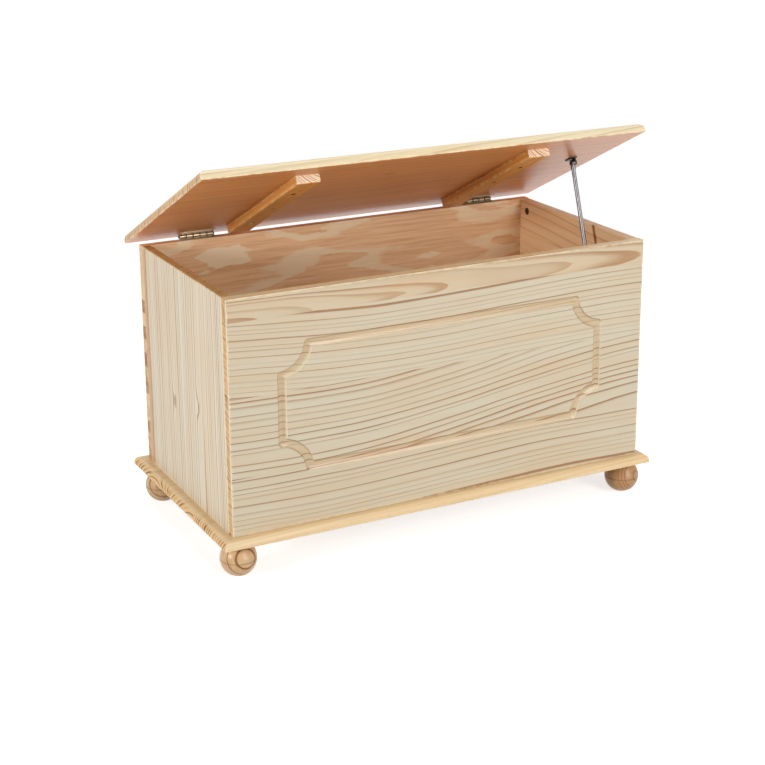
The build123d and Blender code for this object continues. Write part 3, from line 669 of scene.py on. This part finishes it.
LEFT_KNOTS = [Knot(249.0, 43.0, 5.0), Knot(273.0, -75.0, 4.0)]
RIGHT_STRIPS = [
    Strip(79.0, (-120.0, 340.0), (40.0, 20.0), 16.0, 0.2, 0.6, sway=6.0),
    Strip(205.0, (20.0, 300.0), (-40.0, 20.0), 18.0, 0.2, 0.6, sway=6.0),
    Strip(330.0, (160.0, 320.0), (60.0, -20.0), 22.0, 0.2, 0.6, sway=6.0),
    Strip(440.0, (250.0, 330.0), (60.0, 30.0), 16.0, 0.2, 0.6, sway=5.0),
]
BASE_STRIPS = [
    Strip(-235.0, (-300.0, 20.0), (30.0, 20.0), 9.0, 0.35, 0.4, sway=5.0),
    Strip(-80.0, (-90.0, 0.0), (-30.0, 20.0), 10.0, 0.35, 0.4, sway=5.0),
    Strip(50.0, (130.0, 10.0), (20.0, 20.0), 9.0, 0.35, 0.4, sway=5.0),
]
LID_STRIPS = [
    Strip(-228.0, (-400.0, 420.0), (30.0, 40.0), 8.0, 0.34, 0.5, sway=7.0),
    Strip(-90.0, (-240.0, 380.0), (-40.0, 30.0), 9.0, 0.34, 0.5, 0.15, sway=9.0),
    Strip(60.0, (-120.0, 400.0), (30.0, 30.0), 8.0, 0.34, 0.5, sway=7.0),
]
LID_KNOTS = [Knot(-45.0, -118.0, 4.0)]
DOWEL_STRIPS = [Strip(0.0, (300.0, 100.0), ring=5.0)]

# Height of the scribed line round the waist of each foot, in millimetres
FOOT_WAIST = 31.0


def turned_foot(name, pith, ring, heart, seed):
    """A foot is turned from one upright square of pine, whose grain leans a little."""
    wood = Strip(0.0, pith, (250.0, 300.0), ring, 0.18, 1.5, heart, sway=4.0)
    return pine(name, "ZXY", [wood], seed, TURNED_PINE, scribe_height=FOOT_WAIST, lacquer=FOOT_LACQUER)


def batten(name, pith, seed):
    """A batten is one straight-grained length that runs from the lid's front to its back."""
    wood = Strip(0.0, pith, (0.0, 12.0), 5.0, 0.35, 0.8, sway=2.0)
    low, high = node_box(name, True)
    first, last = (corner.y for corner in node_box("batten_screws", True))
    rows = (first + BORE_RADIUS, (first + last) / 2.0, last - BORE_RADIUS)
    bores = [((low.x + high.x) / 2.0, row) for row in rows]
    return pine(name, "YXZ", [wood], seed, BATTEN_PINE, True, bores=bores)


front_face = node_box("front_panel", False)[0].y
boards = {
    "front_panel": pine("front_panel", "XZY", FRONT_STRIPS, 3.0, FRONT_PINE, groove_face=front_face),
    "left_side_panel": pine("left_side_panel", "ZYX", LEFT_STRIPS, 14.0, SIDE_PINE, knots=LEFT_KNOTS),
    "right_side_panel": pine("right_side_panel", "YZX", RIGHT_STRIPS, 23.0, WARM_PINE),
    "back_panel": peeled_veneer("back_panel", 5.0, VENEER_PINE),
    "base_board": pine("base_board", "XYZ", BASE_STRIPS, 41.0, BASE_PINE),
    "lid_panel": pine("lid_panel", "XYZ", LID_STRIPS, 53.0, LID_PINE, True, LID_KNOTS,
                      lacquer=LID_LACQUER),
    "lid_batten_left": batten("lid_batten_left", (-190.0, 566.0), 61.0),
    "lid_batten_right": batten("lid_batten_right", (276.0, 562.0), 67.0),
    "foot_front_left": turned_foot("foot_front_left", (-425.0, -116.6), 12.0, 0.0, 71.0),
    # Full heartwood tone makes this foot darker: painted shade under the base board
    "foot_front_right": turned_foot("foot_front_right", (350.0, -120.0), 7.0, 1.0, 73.0),
    "foot_back_left": turned_foot("foot_back_left", (-385.0, 280.0), 9.0, 0.2, 79.0),
    "foot_back_right": turned_foot("foot_back_right", (350.0, 240.0), 9.0, 0.2, 83.0),
    "corner_dowels": pine("corner_dowels", "YXZ", DOWEL_STRIPS, 89.0, WARM_PINE),
}


# Metal and plastic of the fittings: each hinge has this many knuckles, of this radius in millimetres
KNUCKLES = 5
KNUCKLE_RADIUS = 3.0

# Distances from a joint between knuckles, in millimetres, at which its painted shade ends and is full
JOINT_SHADE_REACH = (1.9, 0.7)

# Height of plating lines and of sprayed or moulded grain, in metres
FINE_RELIEF = 0.0001


def plating(finish, place, colour, tarnish, line_scale):
    """Cloudy plating with fine rolling lines and a few dull spots: its shade, its lines, its spots."""
    cloud = finish.noise(finish.scaled(place, (0.3, 0.3, 0.3)), 3.0, 0.6)
    brushing = finish.noise(finish.scaled(place, (0.15, line_scale, line_scale)), 2.0)
    spots = finish.smooth(finish.noise(place, 4.0, 0.7), 0.6, 0.72)
    return finish.mix(cloud * 0.5 + spots * 0.4, colour, tarnish), brushing, spots


def plated_steel(name, colour, tarnish, roughness, line_scale, marks=1.0):
    """Plated steel. marks is how strongly its lines and spots show."""
    finish = new_finish(name)
    shade, brushing, spots = plating(finish, finish.place(), colour, tarnish, line_scale)
    return finish.close(
        Base_Color=shade,
        Metallic=1.0,
        Roughness=brushing * (0.14 * marks) + spots * (0.15 * marks) + roughness,
        Normal=finish.bump(brushing, 0.12 * marks, FINE_RELIEF),
    )


def hinge_steel(side):
    """A hinge's plated steel, with painted shade in the joints between its knuckles: dark, less metallic
    and rougher there.
    """
    finish = new_finish(side + "_hinge_look")
    place = finish.place()
    shade, brushing, spots = plating(finish, place, srgb(178, 160, 134), srgb(120, 100, 78), 3.0)
    x, y, z = finish.split(place)
    low, high = node_box(side + "_hinge_box_leaf", False)
    pitch = (high.x - low.x) / KNUCKLES
    turn = ((x - low.x) / pitch).part()
    from_joint = turn.least(1.0 - turn) * pitch
    off_y = y - HINGE_LINE.y * MILLIMETRES
    off_z = z - HINGE_LINE.z * MILLIMETRES
    from_axis = (off_y * off_y + off_z * off_z).root()
    at_barrel = finish.smooth(from_axis, KNUCKLE_RADIUS + 1.2, KNUCKLE_RADIUS + 0.4)
    # Painted shade in the joints between the knuckles, on the barrel only
    joint_shade = finish.smooth(from_joint, *JOINT_SHADE_REACH) * at_barrel
    return finish.close(
        Base_Color=finish.mix(joint_shade, shade, srgb(46, 32, 22)),
        Metallic=1.0 - joint_shade * 0.8,
        Roughness=brushing * 0.14 + spots * 0.15 + joint_shade * 0.3 + 0.22,
        Normal=finish.bump(brushing, 0.12, FINE_RELIEF),
    )


def black_enamel(name, roughness, grain):
    """Black finish with a fine moulded or sprayed grain."""
    finish = new_finish(name)
    speckle = finish.noise(finish.scaled(finish.place(), (grain, grain, grain)), 3.0)
    colour = finish.mix(speckle, srgb(26, 26, 27), srgb(44, 44, 45))
    return finish.close(
        Base_Color=colour,
        Roughness=speckle * 0.15 + roughness,
        Normal=finish.bump(speckle, 0.15, FINE_RELIEF),
    )


# The screws sunk in the battens' holes are painted dark brown: painted shade in their recesses
screw_shade_look = plated_steel("painted_shade_screw_look", srgb(70, 54, 38), srgb(44, 34, 24), 0.5, 5.0)
screw_look = plated_steel("zinc_screw_look", srgb(214, 210, 200), srgb(164, 154, 132), 0.24, 5.0)
bracket_look = plated_steel("bracket_steel_look", srgb(204, 202, 198), srgb(160, 158, 154), 0.2, 4.0)
cam_look = plated_steel("cam_zinc_look", srgb(92, 88, 84), srgb(60, 56, 52), 0.42, 2.0)
chrome_look = plated_steel("strut_rod_chrome_look", srgb(116, 113, 114), srgb(96, 93, 96), 0.27, 0.6, 0.1)
tube_look = black_enamel("strut_tube_enamel_look", 0.3, 2.0)
head_look = black_enamel("strut_head_black_look", 0.38, 3.0)
plastic_look = black_enamel("strut_guide_plastic_look", 0.45, 4.0)

fittings = {
    "batten_screws": screw_shade_look,
    "cam_locks": cam_look,
    "strut_tube": tube_look,
    "strut_tube_eye": bracket_look,
    "strut_rod_guide": plastic_look,
    "strut_rod": chrome_look,
    "strut_piston": chrome_look,
    "strut_foot_bracket": bracket_look,
    "strut_rod_end": chrome_look,
    "strut_lid_bracket": head_look,
    "strut_lid_pin": head_look,
    "lid_bracket_screws": head_look,
}
for fastener in ("foot_bolts", "base_screws", "cam_bolts", "hinge_box_screws", "hinge_lid_screws",
                 "foot_bracket_screws"):
    fittings[fastener] = screw_look
for side in ("left", "right"):
    hinge_look = hinge_steel(side)
    for piece in ("box_leaf", "lid_leaf", "pin"):
        fittings[f"{side}_hinge_{piece}"] = hinge_look

for node_name, look in {**boards, **fittings}.items():
    for material_slot in nodes[node_name].material_slots:
        material_slot.material = look


# Floor, light and camera
WHITE = srgb(255, 255, 255)
FLOOR_GREY = srgb(224, 224, 224)
FLOOR_GLOW = 0.7

# Distances from the object's middle, in millimetres, between which the floor turns plain white
SHADOW_END = (1.2 * MILLIMETRES, 3.0 * MILLIMETRES)


def seen_directly(finish):
    """1 where the camera looks straight at a surface, or sees it in metal or glass."""
    rays = ("Is Camera Ray", "Is Glossy Ray", "Is Transmission Ray")
    camera, glossy, clear = (finish.add("ShaderNodeLightPath", None, None, ray) for ray in rays)
    return camera.most(glossy).most(clear)


def white_floor():
    """A pale floor that reads as white to the camera and still takes the soft shadow near the object."""
    finish = new_finish("white_floor_look")
    paint = finish.add("ShaderNodeBsdfDiffuse", None, {"Color": FLOOR_GREY})
    glow = finish.add("ShaderNodeEmission", None, {"Color": WHITE, "Strength": FLOOR_GLOW})
    white = finish.add("ShaderNodeEmission", None, {"Color": WHITE, "Strength": 1.0})
    near = finish.add("ShaderNodeAddShader", None, [paint, glow])
    x, y = finish.split(finish.place())[:2]
    from_middle = (x * x + y * y).root()
    far_away = finish.smooth(from_middle, *SHADOW_END)
    seen = finish.add("ShaderNodeMixShader", None, [far_away, near, white])
    floor_look = finish.add("ShaderNodeMixShader", None, [seen_directly(finish), paint, seen])
    finish.add("ShaderNodeOutputMaterial", None, {"Surface": floor_look})
    # A hair below the soles, so that they and the floor don't share a plane
    bpy.ops.mesh.primitive_plane_add(size=60.0, location=(0.0, 0.0, -0.0004))
    floor = bpy.context.object
    floor.name = "studio_floor"
    floor.data.materials.append(finish.owner)


def white_surround(strength):
    """Even white light from all round. Seen directly or in a reflection it is plain white."""
    world = bpy.data.worlds.new("studio_surround")
    bpy.context.scene.world = world
    finish = Finish(world)
    level = seen_directly(finish) * (1.0 - strength) + strength
    white = finish.add("ShaderNodeBackground", None, {"Color": WHITE, "Strength": level})
    finish.add("ShaderNodeOutputWorld", None, {"Surface": white})


def softbox(name, location, target, size, power):
    """A square soft lamp that looks at a target. Lengths in metres, power in watts."""
    data = bpy.data.lights.new(name, "AREA")
    data.shape = "SQUARE"
    data.size = size
    data.energy = power
    lamp = bpy.data.objects.new(name, data)
    bpy.context.scene.collection.objects.link(lamp)
    lamp.location = location
    lamp.rotation_euler = (Vector(target) - Vector(location)).to_track_quat("-Z", "Y").to_euler()


def studio_camera(location, azimuth, elevation, roll, focal_pixels, shift, image_pixels=765.0):
    """A camera that looks the way the photograph was taken. Angles in degrees, shift in frames."""
    turn = math.radians(azimuth)
    rise = math.radians(elevation)
    tilt = math.radians(roll)
    back = Vector((math.sin(turn) * math.cos(rise), -math.cos(turn) * math.cos(rise), math.sin(rise)))
    level_right = (-back).cross(Vector((0.0, 0.0, 1.0))).normalized()
    level_up = level_right.cross(-back)
    right = level_right * math.cos(tilt) + level_up * math.sin(tilt)
    up = level_up * math.cos(tilt) - level_right * math.sin(tilt)
    data = bpy.data.cameras.new("photo_camera")
    data.sensor_width = 36.0
    data.lens = focal_pixels / image_pixels * data.sensor_width
    data.shift_y = shift
    data.clip_end = 100.0
    camera = bpy.data.objects.new("photo_camera", data)
    bpy.context.scene.collection.objects.link(camera)
    axes = Matrix((right, up, back)).transposed().to_4x4()
    camera.matrix_world = Matrix.Translation(location) @ axes
    bpy.context.scene.camera = camera


white_floor()
white_surround(strength=0.15)
middle = (0.0, 0.0, 0.35)
softbox("left_softbox", (-3.4, -0.8, 1.1), middle, 0.6, 58.0)
softbox("high_front_softbox", (1.3, -3.8, 2.3), middle, 1.5, 60.0)
softbox("low_front_softbox", (1.3, -4.1, 0.7), middle, 1.0, 52.0)
softbox("top_softbox", (0.2, 0.8, 3.6), middle, 2.4, 60.0)
studio_camera(
    location=(-1.4295, -2.7366, 1.2943),
    azimuth=-27.292,
    elevation=16.456,
    roll=-0.353,
    focal_pixels=1692.6,
    shift=-0.1,
)
bpy.context.scene.view_settings.view_transform = "Standard"
